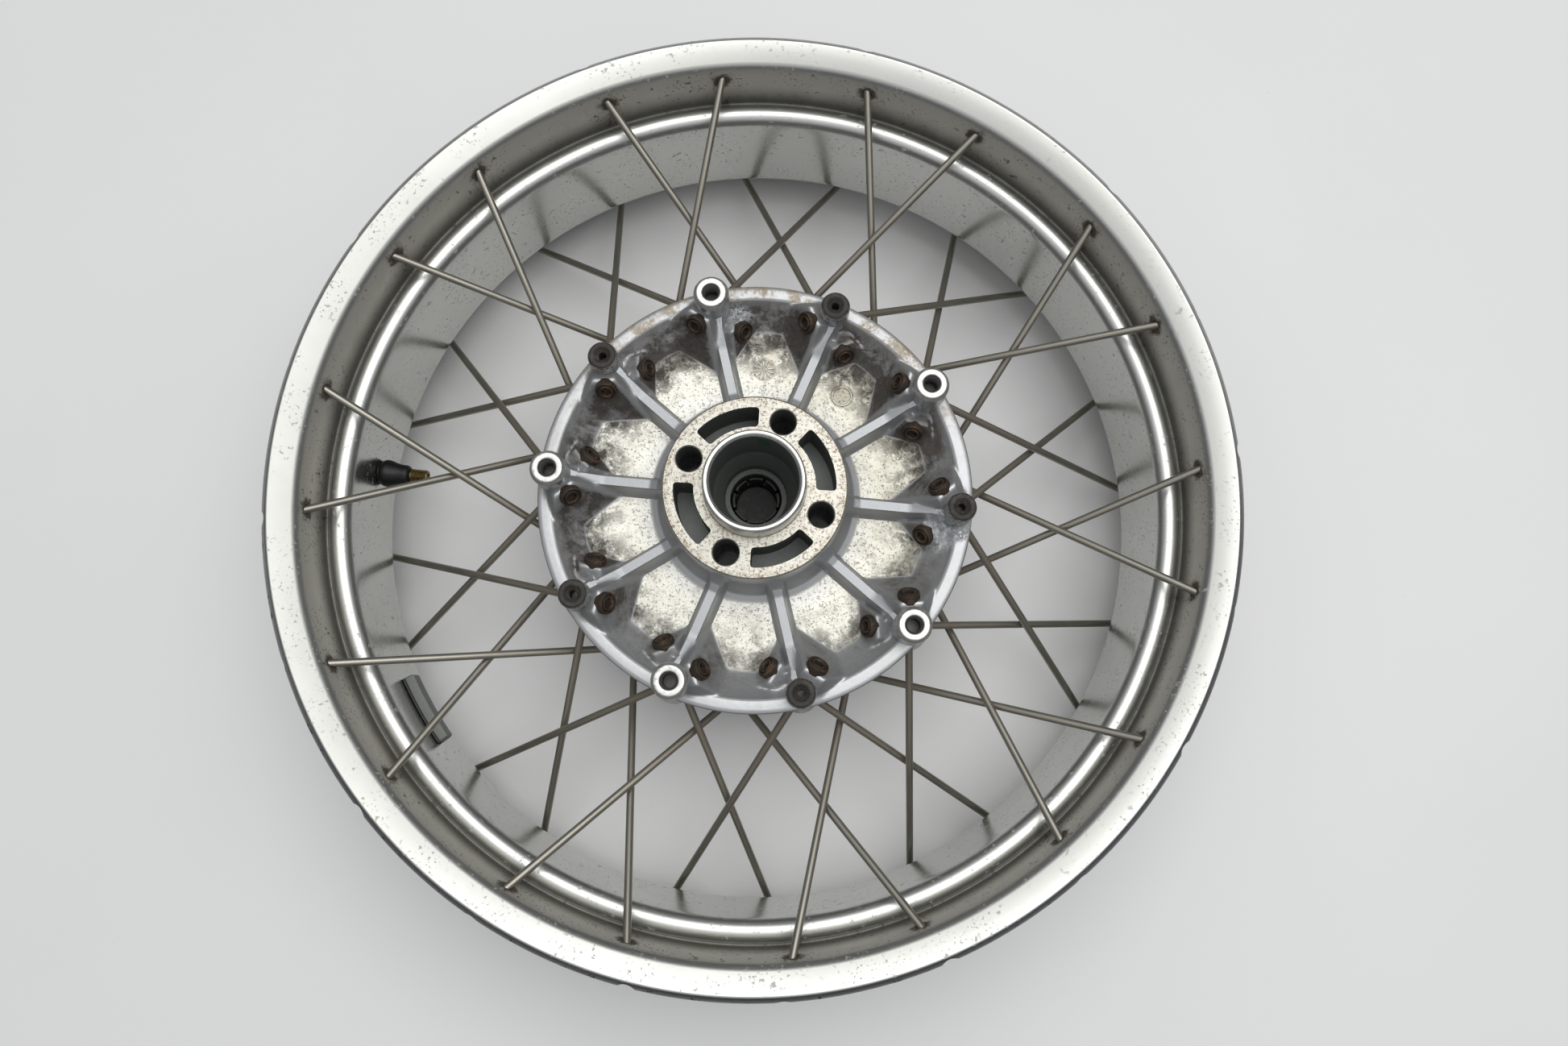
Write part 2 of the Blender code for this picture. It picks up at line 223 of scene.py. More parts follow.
class Value:
    """A shader socket in an expression. Its operators add Math nodes."""

    def __init__(self, finish, socket):
        self.finish, self.socket = finish, socket

    def maths(self, operation, *values):
        return self.finish.node("ShaderNodeMath", dict(operation=operation), values)

    def __add__(self, other): return self.maths("ADD", self, other)
    def __radd__(self, other): return self.maths("ADD", other, self)
    def __sub__(self, other): return self.maths("SUBTRACT", self, other)
    def __rsub__(self, other): return self.maths("SUBTRACT", other, self)
    def __mul__(self, other): return self.maths("MULTIPLY", self, other)
    def __rmul__(self, other): return self.maths("MULTIPLY", other, self)
    def __pow__(self, other): return self.maths("POWER", self, other)
    def __mod__(self, other): return self.maths("FLOORED_MODULO", self, other)
    def __abs__(self): return self.maths("ABSOLUTE", self)
    def sine(self): return self.maths("SINE", self)

    def at_least(self, other): return self.maths("MAXIMUM", self, other)
    def at_most(self, other): return self.maths("MINIMUM", self, other)

    def step(self, low, high, bottom=0.0, top=1.0):
        """A smooth step from bottom at low to top at high, level outside them."""
        if low > high:
            low, high, bottom, top = high, low, top, bottom
        return self.finish.node("ShaderNodeMapRange", dict(interpolation_type="SMOOTHSTEP"),
                                {"Value": self, "From Min": low, "From Max": high,
                                 "To Min": bottom, "To Max": top})

    def near(self, centre, reach, soft):
        """One within reach of a centre, falling to zero over the soft distance."""
        return abs(self - centre).step(reach, reach + soft, 1.0, 0.0)


class Finish:
    """One material: a Principled shader and the nodes that feed it."""

    def __init__(self, name, **constants):
        self.material = bpy.data.materials.new(name)
        self.material.use_nodes = True
        self.tree = self.material.node_tree
        self.shader = self.tree.nodes["Principled BSDF"]
        for socket, value in constants.items():
            self.shader.inputs[socket.replace("_", " ")].default_value = value

    def node(self, kind, settings=None, values=(), output=0):
        """Any node: its settings first, then the values or links of its sockets."""
        made = self.tree.nodes.new(kind)
        for key, value in (settings or {}).items():
            setattr(made, key, value)
        pairs = values.items() if isinstance(values, dict) else enumerate(values)
        for key, value in pairs:
            if isinstance(value, Value):
                self.tree.links.new(value.socket, made.inputs[key])
            else:
                made.inputs[key].default_value = value
        return Value(self, made.outputs[output])

    def place(self, stretch=(1, 1, 1)):
        """Object coordinates in millimetres, stretched."""
        return self.node("ShaderNodeMapping", None, {
            0: self.node("ShaderNodeTexCoord", output="Object"),
            "Scale": tuple(1000.0 * s for s in stretch)})

    def axes(self):
        """x, y, z, radius and angle in degrees of a point, in millimetres."""
        place = self.place()
        x, y, z = (self.node("ShaderNodeSeparateXYZ", None, [place], i) for i in range(3))
        angle = x.maths("ARCTAN2", y, x) * (1.0 / DEGREE)
        return x, y, z, (x * x + y * y) ** 0.5, angle

    def folded(self, angle):
        """How far an angle is from the nearest boss, 0 to 18 degrees, the same on both sides."""
        return abs((angle - (BOSS_ANGLE - BOSS_PITCH / 2)) % BOSS_PITCH - BOSS_PITCH / 2)

    def noise(self, size, detail=4.0, rough=0.6, stretch=(1, 1, 1), warp=0.0):
        """Cloudy noise whose largest patches are about this many millimetres across."""
        return self.node("ShaderNodeTexNoise", None, {
            "Vector": self.place(stretch), "Scale": 1.0 / size, "Detail": detail,
            "Roughness": rough, "Distortion": warp})

    def mix(self, factor, first, second):
        """One colour over another by a factor."""
        def colour(c):
            return c if isinstance(c, Value) else (*c, 1.0)
        return self.node("ShaderNodeMix", dict(data_type="RGBA"),
                         {0: factor, 6: colour(first), 7: colour(second)}, 2)

    def bump(self, height, strength, depth):
        """The surface's normal with a height on it, whose full depth is in millimetres."""
        return self.node("ShaderNodeBump", None, {
            "Height": height, "Strength": strength, "Distance": depth * MM})

    def feed(self, **sockets):
        """Links values to the shader's sockets, and gives the finished material."""
        for key, value in sockets.items():
            self.tree.links.new(value.socket, self.shader.inputs[key.replace("_", " ")])
        return self.material


def speckle(finish, size, amount, soft=0.05, **kind):
    """Scattered spots: the noise where it is over a threshold."""
    return finish.noise(size, **kind).step(1.0 - amount, 1.0 - amount + soft)


def from_spot(x, y, radius, degrees):
    """Distance from a place on the hub, seen along the axle."""
    px, py = circle(radius, degrees)
    return ((x - px) ** 2.0 + (y - py) ** 2.0) ** 0.5


def rim_alloy():
    """Satin anodised alloy: polished barrel, painted shade in the channel, darkest by the valley
    and streaked with grime, dirt round each spoke hole, black scuffs on the outer edge, painted
    shade on the flange's left side, and a painted line of shade on the outer bevel, stronger on the
    near side."""
    f = Finish("rim_satin_alloy", Metallic=1.0)
    x, y, z, radius, angle = f.axes()
    middle = abs(z - RIM_MIDDLE)
    fold = f.folded(angle)
    channel = radius.step(213.4, 214.4) * middle.step(57.0, 59.5, 1, 0) * radius.step(219.0, 217.6)
    barrel = middle.step(27.0, 31.0, 1, 0)
    outside = radius.step(217.9, 219.0) * middle.step(60.5, 61.5, 1, 0)

    upper = z.step(RIM_MIDDLE - 1, RIM_MIDDLE + 1)
    hole_fold = 10.1 + upper * (7.9 - 10.1)
    across = (fold - hole_fold) * (DEGREE * SPOKE_RIM_R)
    along = middle - SPOKE_RIM_Z
    from_hole = (across * across + along * along) ** 0.5
    ragged = f.noise(3.0, 5.0, 0.75)
    ring = (from_hole + ragged * 8.0).step(10.2, 7.4)
    run = across.near(0.0, 1.2, 7.0) * (f.noise(5.0, 6, 0.8, (1, 1, 0.35)).step(0.5, 0.62))

    dust = f.noise(30.0, 6.0, 0.7)
    grime = f.noise(9.0, 8.0, 0.8, (1, 1, 0.5))
    dots = speckle(f, 1.5, 0.38, 0.03, detail=2.0) * f.noise(22.0, 3.0).step(0.42, 0.58)
    flecks = speckle(f, 4.0, 0.36, 0.03, detail=3.0) * f.noise(40.0, 2.0).step(0.42, 0.56)
    marks = (dots + flecks).at_most(1.0)

    bevel = radius.step(229.3, 229.9)
    scuff_zone = radius.step(230.0, 231.4)
    low_left = (x * -0.45 + y * -0.9).step(90.0, 200.0)
    scuffs = scuff_zone * f.noise(6.0, 5.0, 0.7, (1, 1, 0.6)).step(0.58, 0.62) \
        * (0.35 + low_left).at_most(1.0)

    colour = f.mix(dust * 0.35, (0.69, 0.70, 0.68), (0.61, 0.615, 0.59))
    # Painted shade: the channel wall goes dark toward the valley in its middle and lighter toward
    # the lips, streaked with grime.
    shade = f.mix(middle.step(33.0, 48.0), (0.12, 0.114, 0.098), (0.62, 0.60, 0.545))
    colour = f.mix(channel * (0.72 + 0.28 * grime), colour, shade)
    colour = f.mix(barrel * (0.45 + grime * 0.3), colour, (0.50, 0.495, 0.465))
    colour = f.mix(marks * (0.25 + channel * 0.6).at_most(1.0) * 0.9, colour, (0.10, 0.08, 0.06))
    colour = f.mix((ring + run * 0.7).at_most(0.95) * channel.at_least(outside * 0.7),
                   colour, (0.075, 0.058, 0.042))
    colour = f.mix(outside * (0.25 + grime * 0.3), colour, (0.36, 0.35, 0.33))
    # Painted shade: the flange's colour is darker on its left side than elsewhere.
    flange = radius.step(218.0, 219.2) * middle.step(59.5, 60.8)
    left = (x * -1.0).step(60.0, 220.0)
    colour = f.mix(flange * (1.0 - marks * 0.5), colour,
                   f.mix(left, (0.53, 0.535, 0.515), (0.36, 0.365, 0.35)))
    # Painted shade: a dark line on the outer bevel, stronger on the near side.
    near_side_shade = (y * -1.0 + x * 0.25).step(-40.0, 120.0)
    colour = f.mix(bevel * (0.25 + near_side_shade * 0.6), colour, (0.10, 0.10, 0.115))
    colour = f.mix(scuffs, colour, (0.02, 0.02, 0.02))

    rough = 0.30 + 0.10 * dust + channel * (0.12 + 0.25 * grime) - barrel * 0.12 \
        + marks * 0.3 + scuffs * 0.3 + ring * 0.3
    metal = 1.0 - (ring * 0.7 + scuffs * 0.6 + channel * grime * 0.35 + marks * 0.4).at_most(0.95)
    grain = f.noise(0.7, 3.0) * 0.4 + f.noise(120.0, 2.0) * 14.0 - scuffs * 6.0 - marks * 1.5
    return f.feed(Base_Color=colour, Roughness=rough.at_least(0.12).at_most(0.9), Metallic=metal,
                  Normal=f.bump(grain, 0.25, 0.035))


def hub_paint():
    """Silver paint on a casting, stained brown in the pockets, nearly black on faces that tilt from
    up, the wedges and their feet, worn pale on the pocket floors, which darken toward the right
    with painted shade and brown stain, and white corrosion beside two bosses."""
    f = Finish("hub_silver_paint")
    x, y, z, radius, angle = f.axes()
    fold = f.folded(angle)
    cloud = f.noise(24.0, 7.0, 0.72, warp=0.4)
    fine = f.noise(3.0, 8.0, 0.85)
    streak = f.noise(8.0, 8.0, 0.8, warp=0.25)
    spots = speckle(f, 1.2, 0.44, 0.10, detail=4.0, rough=0.8)
    up = f.node("ShaderNodeSeparateXYZ", None, [f.node("ShaderNodeNewGeometry", output=1)], 2)

    top = z.step(86.0, 90.0)
    pocket = top * z.step(118.0, 108.0) * radius.step(104.0, 101.0) * radius.step(46.0, 50.0)
    floor = pocket * z.step(97.0, 94.8) * up.step(0.90, 0.97)
    slope = pocket * up.step(0.93, 0.74) * radius.step(60.0, 70.0)
    wall = slope * radius.step(88.0, 92.0)
    rib = pocket * ((fold * DEGREE).sine() * radius).step(7.5, 4.5)
    foot = floor * (radius.step(70.0, 88.0) + fold.near(9.0, 3.0, 6.0) * radius.step(60, 82)) * 0.7

    # Dirt lies thick at the upper left and thins toward the lower right.
    dirty = (x * -0.30 + y * 0.95 + (cloud - 0.5) * 90.0).step(-105.0, 60.0, 0.42, 1.0)

    silver = f.mix(cloud, (0.41, 0.42, 0.435), (0.52, 0.53, 0.54))
    worn = f.mix(streak.step(0.3, 0.7), (0.54, 0.535, 0.475), (0.72, 0.715, 0.645))
    stain = f.mix(fine, (0.13, 0.095, 0.055), (0.36, 0.30, 0.21))
    near_black = f.mix(fine.step(0.3, 0.75), (0.020, 0.017, 0.014), (0.095, 0.080, 0.066))

    colour = f.mix(floor * radius.step(54.0, 64.0, 0.35, 0.85), silver, worn)
    # Painted shade and brown stain together: the pocket floors darken toward the right.
    right_shade_and_stain = (x * 0.9 + y * 0.45 + (cloud - 0.5) * 90.0).step(-10.0, 75.0)
    colour = f.mix(floor * (0.12 + right_shade_and_stain * 0.55), colour, (0.34, 0.325, 0.27))
    blotch = floor * (streak * 0.6 + cloud * 0.4).step(0.48, 0.68)
    colour = f.mix(blotch * (0.2 + 0.6 * radius.step(58.0, 84.0)) * dirty, colour, stain)
    colour = f.mix(floor * spots * (0.30 + 0.70 * cloud.step(0.44, 0.58)) * 0.8, colour, stain)

    # Faces whose normal tilts from up go near black, as do the floor at the wedges' feet and round
    # the seats; less on the outer wall and the ribs.
    thick = (cloud * 0.7 + streak * 0.3).step(0.36, 0.58)
    dark = slope * (0.48 + 0.6 * thick) * (1.0 - wall * 0.45) * (1.0 - rib * 0.8)
    dark = (dark + foot * streak.step(0.44, 0.60)) * dirty
    seat = fold.near(10.5, 5.5, 5.5) * radius.step(74.0, 84.0) * radius.step(101.0, 95.0)
    dark = (dark + pocket * seat * thick * dirty * 0.7 * (1.0 - rib)).at_most(1.0)
    colour = f.mix(dark * 0.95, colour, near_black)

    band = z.step(104.8, 106.3) * radius.step(99.5, 101.5) * z.step(110.0, 108.5)
    behind = (x * 0.05 + y * 1.0 + (cloud - 0.5) * 60.0).step(15.0, 80.0)
    rusty_band = band * (streak * 0.6 + fine * 0.4).step(0.46, 0.58) * (0.10 + behind * 0.9)
    colour = f.mix(band * (0.75 - z.step(105.9, 106.4) * 0.4), colour, (0.30, 0.31, 0.325))
    colour = f.mix((rusty_band * 0.9).at_most(0.9), colour, stain)

    crest = rib * up.step(0.88, 0.96) * z.step(97.0, 99.0)
    colour = f.mix(crest * 0.75, colour, (0.24, 0.25, 0.265))

    marks = 0.0
    for place, reach in ((DIAL_MARK, 6.0), (RING_MARK, 6.2)):
        away = from_spot(x, y, *place)
        marks = away.step(reach + 0.6, reach - 0.4) * floor * z.step(94.35, 94.1) + marks
    colour = f.mix((marks * 0.55).at_most(1.0), colour, (0.17, 0.145, 0.105))

    crust = 0.0
    for where, out, reach in ((95.5, 92.5, 5.5), (-8.5, 99.0, 7.0), (-12.5, 93.0, 6.5)):
        crust = from_spot(x, y, out, where).step(reach + 3.5, reach - 2.5) * top + crust
    crust = crust.at_most(1.0) * f.noise(2.2, 8.0, 0.85).step(0.46, 0.54)
    colour = f.mix(crust * 0.9, colour, f.mix(fine, (0.42, 0.47, 0.50), (0.86, 0.90, 0.92)))

    under = z.step(80.0, 70.0) * radius.step(106.5, 104.0)
    colour = f.mix(under * (0.12 + streak.step(0.45, 0.62) * 0.5), colour, (0.21, 0.18, 0.15))
    rough = 0.34 + 0.12 * cloud + dark * 0.30 + blotch * 0.15 + crust * 0.3 + spots * 0.08
    metal = (0.88 - dark * 0.75 - blotch * 0.35 - crust * 0.8 - rusty_band * 0.6).at_least(0.0)
    grain = f.noise(1.1, 4.0, 0.7) * 1.0 + cloud * 3.0 + dark * fine * 9.0 + crust * fine * 26.0 \
        + spots * floor * -1.5
    return f.feed(Base_Color=colour, Roughness=rough.at_most(0.95), Metallic=metal,
                  Normal=f.bump(grain, 0.5, 0.09))


def flange_metal():
    """Bare machined flange and pilot: pale and speckled brown, a bright polished pilot, and dark
    blue-grey inside the bore, the bolt holes and the arc wells, which is grease in the bore and
    painted shade down the holes and wells, with a lighter teal on the wells' floors."""
    f = Finish("flange_bare_alloy")
    x, y, z, radius, _ = f.axes()
    cloud, fine = f.noise(12.0, 6.0, 0.7), f.noise(2.2, 8.0, 0.85)
    face = z.near(124.2, 0.45, 0.3)
    pilot = z.step(125.0, 126.0)
    inside = radius.step(22.4, 21.7) * z.step(138.4, 137.2)
    well = z.step(101.0, 98.6) * radius.step(25.5, 27.0)
    deep = (z.step(123.6, 122.6) * radius.step(44.2, 43.6)).at_least(inside)
    rings = f.node("ShaderNodeTexWave", dict(wave_type="RINGS", rings_direction="Z"),
                   {"Vector": f.place(), "Scale": 0.42, "Distortion": 0.6, "Detail": 2.0})
    spots = speckle(f, 1.5, 0.46, 0.08, detail=5.0, rough=0.85)
    edge = radius.near(43.2, 0.8, 1.0) + radius.near(25.2, 0.3, 0.9)

    colour = f.mix(cloud, (0.44, 0.43, 0.385), (0.60, 0.585, 0.53))
    colour = f.mix(face * (spots * 0.6 + cloud.step(0.45, 0.65) * 0.25), colour, (0.25, 0.19, 0.12))
    brown = (edge * face).at_most(1.0) * fine.step(0.5, 0.58) * 0.8
    colour = f.mix(brown, colour, (0.21, 0.14, 0.08))
    colour = f.mix(pilot * 0.7, colour, (0.84, 0.84, 0.83))
    colour = f.mix(pilot * fine.step(0.60, 0.66) * 0.6, colour, (0.36, 0.31, 0.24))
    # Dark teal inside: grease in the bore, and painted shade down the bolt holes and arc wells,
    # lighter on the wells' floors.
    teal = f.mix(fine, (0.050, 0.060, 0.062), (0.14, 0.155, 0.15))
    teal = f.mix(well, teal, f.mix(cloud, (0.14, 0.165, 0.165), (0.30, 0.32, 0.31)))
    colour = f.mix(deep * 0.9, colour, teal)
    side = radius.step(43.9, 44.4) * z.step(123.6, 122.9)
    colour = f.mix(side, colour, f.mix(cloud, (0.62, 0.63, 0.65), (0.72, 0.73, 0.745)))

    green = ((x - 4.0) ** 2.0 * 0.25 + (y - 20.0) ** 2.0 + (z - 128.0) ** 2.0 * 0.08) ** 0.5
    colour = f.mix(green.step(2.1, 1.5) * inside * 0.7, colour, (0.035, 0.16, 0.075))
    rough = 0.36 + 0.12 * cloud + spots * face * 0.2 - pilot * 0.10 + deep * 0.2
    metal = 0.9 - deep * 0.35 - spots * face * 0.3
    grain = fine * 1.5 + rings * 1.2 + spots * face * 2.0
    return f.feed(Base_Color=colour, Roughness=rough, Metallic=metal,
                  Normal=f.bump(grain, 0.4, 0.05))


def boss_alloy(name, base, dirt):
    """Machined boss: worn bright face, silver painted sides, painted shade inside the threaded
    hole, dirt round the chamfer, and browner and darker toward the foot."""
    f = Finish(name)
    _, _, z, radius, angle = f.axes()
    cloud, fine = f.noise(9.0, 6.0, 0.75), f.noise(2.0, 8.0, 0.85)
    across = f.folded(angle) * radius * DEGREE
    from_axis = (across * across + (radius - BOSS_CIRCLE_R) ** 2.0) ** 0.5
    hole = from_axis.step(4.9, 4.4) * z.step(124.3, 123.6)
    face = z.step(120.0, 120.8) * (1.0 - hole)
    colour = f.mix(cloud, (0.50, 0.515, 0.54), (0.62, 0.635, 0.65))
    colour = f.mix(face * 0.85, colour, base)
    # Browner and darker toward the foot.
    foot = z.step(109.0, 101.0) * 0.6
    colour = f.mix((fine.step(0.57 - 0.1 * dirt, 0.65 - 0.1 * dirt) * (0.3 + 0.5 * dirt)
                    + foot * cloud).at_most(1.0), colour, (0.10, 0.078, 0.058))
    # Painted shade: the threaded hole goes nearly black inside.
    colour = f.mix(hole * 0.9, colour, (0.07, 0.065, 0.058))
    return f.feed(Base_Color=colour, Roughness=0.26 + 0.2 * cloud + hole * 0.1,
                  Metallic=(0.95 - 0.4 * dirt * fine - foot * 0.4).at_least(0.0),
                  Normal=f.bump(fine, 0.4, 0.05))


def spoke_steel():
    """Dull stainless wire: clean grey at the rim, brown and pitted toward the hub."""
    f = Finish("spoke_stainless_wire", Metallic=1.0)
    _, _, _, radius, _ = f.axes()
    fine, cloud = f.noise(2.4, 7.0, 0.85), f.noise(20.0, 4.0, 0.7)
    rust = (radius.step(185.0, 100.0, 0.05, 0.72) + cloud * 0.5 - 0.25 + (fine - 0.5) * 0.7)
    rust = rust.at_least(0.0).at_most(1.0)
    colour = f.mix(cloud, (0.31, 0.295, 0.255), (0.42, 0.405, 0.36))
    colour = f.mix(rust * 0.85, colour, f.mix(fine, (0.085, 0.066, 0.048), (0.24, 0.195, 0.145)))
    return f.feed(Base_Color=colour, Roughness=0.30 + rust * 0.2 + cloud * 0.08,
                  Metallic=0.92 - rust * 0.3,
                  Normal=f.bump(fine, 0.25, 0.03))


def rusted_steel(name, dark, light, red, amount):
    """Rusty steel: near-black scale with brown and orange patches."""
    f = Finish(name)
    fine, patch = f.noise(1.4, 8.0, 0.9), f.noise(5.0, 6.0, 0.8, warp=0.8)
    colour = f.mix(fine, dark, light)
    colour = f.mix(patch.step(0.50, 0.62) * amount, colour, red)
    return f.feed(Base_Color=colour, Roughness=0.5 + 0.3 * fine,
                  Metallic=0.55 - 0.4 * patch.step(0.5, 0.62),
                  Normal=f.bump(fine + patch, 0.8, 0.22))


def rubber():
    f = Finish("valve_rubber", Specular_IOR_Level=0.35)
    fine, cloud = f.noise(1.2, 5.0), f.noise(8.0, 5.0)
    colour = f.mix(cloud, (0.004, 0.004, 0.005), (0.014, 0.014, 0.014))
    return f.feed(Base_Color=colour, Roughness=0.28 + 0.25 * cloud, Normal=f.bump(fine, 0.35, 0.06))


def brass():
    f = Finish("valve_brass", Metallic=1.0)
    fine, cloud = f.noise(1.0, 6.0, 0.8), f.noise(4.0, 5.0, 0.7)
    colour = f.mix(cloud, (0.34, 0.26, 0.11), (0.16, 0.12, 0.055))
    colour = f.mix(fine.step(0.48, 0.60) * 0.8, colour, (0.075, 0.058, 0.038))
    return f.feed(Base_Color=colour, Roughness=0.25 + 0.25 * cloud, Normal=f.bump(fine, 0.4, 0.04))


def plain_steel(name, colour, rough):
    f = Finish(name, Metallic=1.0)
    fine = f.noise(1.0, 6.0, 0.8)
    return f.feed(Base_Color=f.mix(fine, colour, tuple(0.72 * c for c in colour)),
                  Roughness=rough + 0.15 * fine, Normal=f.bump(fine, 0.3, 0.02))


def black_plastic():
    f = Finish("cap_black_plastic", Specular_IOR_Level=0.4)
    fine, cloud = f.noise(0.8, 4.0), f.noise(6.0, 6.0, 0.75)
    colour = f.mix(cloud.step(0.48, 0.66) * 0.7, (0.016, 0.016, 0.017), (0.085, 0.075, 0.06))
    return f.feed(Base_Color=colour, Roughness=0.42 + 0.25 * cloud, Normal=f.bump(fine, 0.3, 0.05))


def zinc():
    f = Finish("weight_grey_zinc")
    fine, cloud = f.noise(1.6, 7.0, 0.8), f.noise(9.0, 6.0, 0.75)
    colour = f.mix(cloud, (0.15, 0.16, 0.15), (0.28, 0.29, 0.275))
    colour = f.mix(fine.step(0.58, 0.68) * 0.7, colour, (0.07, 0.068, 0.062))
    return f.feed(Base_Color=colour, Roughness=0.55 + 0.2 * fine, Metallic=0.5 - 0.3 * fine,
                  Normal=f.bump(fine, 0.5, 0.10))


def foam_tape():
    f = Finish("weight_foam_tape")
    fine = f.noise(0.9, 5.0, 0.8)
    return f.feed(Base_Color=f.mix(fine, (0.035, 0.035, 0.035), (0.10, 0.098, 0.092)),
                  Roughness=0.8 + 0.1 * fine, Normal=f.bump(fine, 0.6, 0.15))


def floor_paint():
    f = Finish("floor_pale_board")
    cloud, fine = f.noise(260.0, 4.0, 0.55), f.noise(6.0, 6.0, 0.7)
    specks = speckle(f, 3.0, 0.22, 0.02, detail=2.0) * f.noise(90.0, 2.0).step(0.52, 0.6)
    colour = f.mix(cloud, (0.735, 0.745, 0.755), (0.80, 0.81, 0.815))
    colour = f.mix(specks * 0.5, colour, (0.33, 0.31, 0.29))
    return f.feed(Base_Color=colour, Roughness=0.42 + 0.15 * cloud, Normal=f.bump(fine, 0.15, 0.05))


RIM_ALLOY = rim_alloy()
HUB_PAINT = hub_paint()
FLANGE_METAL = flange_metal()
BRIGHT_BOSS = boss_alloy("boss_bright_face", (0.60, 0.60, 0.585), 0.45)
DARK_BOSS = boss_alloy("boss_stained_face", (0.20, 0.18, 0.155), 1.0)
SPOKE_STEEL = spoke_steel()
ADJUSTER_STEEL = rusted_steel("adjuster_rusted_steel", (0.014, 0.011, 0.009), (0.085, 0.064, 0.048),
                              (0.135, 0.062, 0.028), 0.45)
INSERT_STEEL = rusted_steel("insert_blackened_steel", (0.012, 0.012, 0.012), (0.10, 0.095, 0.088),
                            (0.13, 0.10, 0.07), 0.3)
RUBBER, BRASS, PLASTIC = rubber(), brass(), black_plastic()
ZINC, TAPE = zinc(), foam_tape()
CORE_STEEL = plain_steel("valve_core_steel", (0.55, 0.54, 0.52), 0.25)


# ---------------------------------------------------------------- rim

def cut(obj, shapes, sharp=30.0):
    """Cuts closed shapes, given as (points in millimetres, face arrays), out of a piece, and
    marks edges sharper than an angle, so that its flat and round faces keep clean shading."""
    points = np.vstack([p for p, _ in shapes]) * MM
    faces, first = [], 0
    for p, groups in shapes:
        faces += [tuple(face) for group in groups for face in (np.asarray(group) + first).tolist()]
        first += len(p)
    mesh = bpy.data.meshes.new("cutter")
    mesh.from_pydata(points.tolist(), [], faces)
    cutter = put("cutter", mesh)
    step = obj.modifiers.new("cut", "BOOLEAN")
    step.operation, step.object, step.solver = "DIFFERENCE", cutter, "MANIFOLD"
    bpy.context.view_layer.update()
    graph = bpy.context.evaluated_depsgraph_get()
    made = bpy.data.meshes.new_from_object(obj.evaluated_get(graph))
    obj.modifiers.clear()
    old, obj.data = obj.data, made
    made.name = old.name
    bpy.data.meshes.remove(old)
    bpy.data.objects.remove(cutter)
    bpy.data.meshes.remove(mesh)
    made.polygons.foreach_set("use_smooth", np.ones(len(made.polygons), bool))
    made.set_sharp_from_angle(angle=math.radians(sharp))
    return obj


def rod(start, end, radius, steps=20, end_radius=None):
    """A closed round bar between two points, for cutting."""
    start, end = np.asarray(start, float), np.asarray(end, float)
    length = float(np.linalg.norm(end - start))
    profile = [(radius, 0.0), (end_radius or radius, length)]
    points, faces = lathe(profile, steps, start, end - start)
    return points, [faces, [list(range(steps))[::-1]], [list(range(steps, 2 * steps))]]


def spoke_line(family, hand, number):
    """Where a spoke meets the rim's lip and where its adjuster sits, in millimetres."""
    at_rim, seat_r, seat_angle, seat_z = SPOKES[family, hand]
    boss = BOSS_ANGLE - BOSS_PITCH * number
    side = SPOKE_RIM_Z if family == "upper" else -SPOKE_RIM_Z
    return (polar(SPOKE_RIM_R, boss - hand * at_rim, RIM_MIDDLE + side),
            polar(seat_r, boss + hand * seat_angle, seat_z))


def all_spokes():
    for number in range(BOSS_COUNT):
        for family, hand in SPOKES:
            yield (f"{family}_{2 * number + (1 if hand == 1 else 2):02d}", family, hand,
                   *spoke_line(family, hand, number))


def build_rim():
    """The rim turned from one closed outline: two lips with a sloped satin face, the channel the
    spokes pass through, the round ridge, and the barrel wall between them."""
    half_outer = [(229.0, 65.7, 0.9), (232.6, 62.6, 1.8), (232.6, 51.6, 1.2), (219.5, 50.8, 3.5),
                  (218.2, 36.0, 1.2), (218.2, 32.0, 2.0), (208.6, 21.0, 4.0), (206.8, 17.5, 4.0)]
    half_inner = [(202.6, 25.8, 1.5), (202.8, 30.6, 3.0), (205.2, 33.4, 3.2), (208.6, 34.3, 3.2),
                  (212.2, 33.1, 3.0), (214.0, 30.2, 1.2), (215.0, 30.8, 0.5), (216.0, 54.0, 3.0),
                  (216.6, 58.4, 2.0), (218.4, 60.9, 1.2)]
    outer = [(r, -z, k) for r, z, k in half_outer] + [(r, z, k) for r, z, k in half_outer[::-1]]
    inner = [(r, z, k) for r, z, k in half_inner[::-1]] + [(r, -z, k) for r, z, k in half_inner]
    outline = dense(rounded(outer + inner, 4), 9.0, closed=True)
    outline[:, 1] += RIM_MIDDLE
    rim = turned("rim_hoop", outline, RIM_ALLOY, RIM_STEPS, loop=True, sharp=None,
                 instead=["rim"], slot="rim_alloy")
    pockets, shapes = [], []
    for _, _, _, start, seat in all_spokes():
        away = unit(start - seat)
        pockets.append(rod(start + 12.0 * away, start + 40.0 * away, HEAD_POCKET_R, 22))
        shapes.append(rod(start - 6.0 * away, start + 14.0 * away, SPOKE_HOLE_R, 14))
    valve_out = polar(1.0, VALVE_ANGLE)
    foot = polar(BARREL_R, VALVE_ANGLE, VALVE_HEIGHT)
    shapes.append(rod(foot - 3.0 * valve_out, foot + 8.0 * valve_out, VALVE_HOLE_R, 32))
    cut(cut(rim, pockets), shapes)


# ---------------------------------------------------------------- hub

RIB_OFFSETS = np.array([0.0, 1.3, 2.1, 2.5, 2.85, 3.8, 5.4])
PER_SECTOR = 50


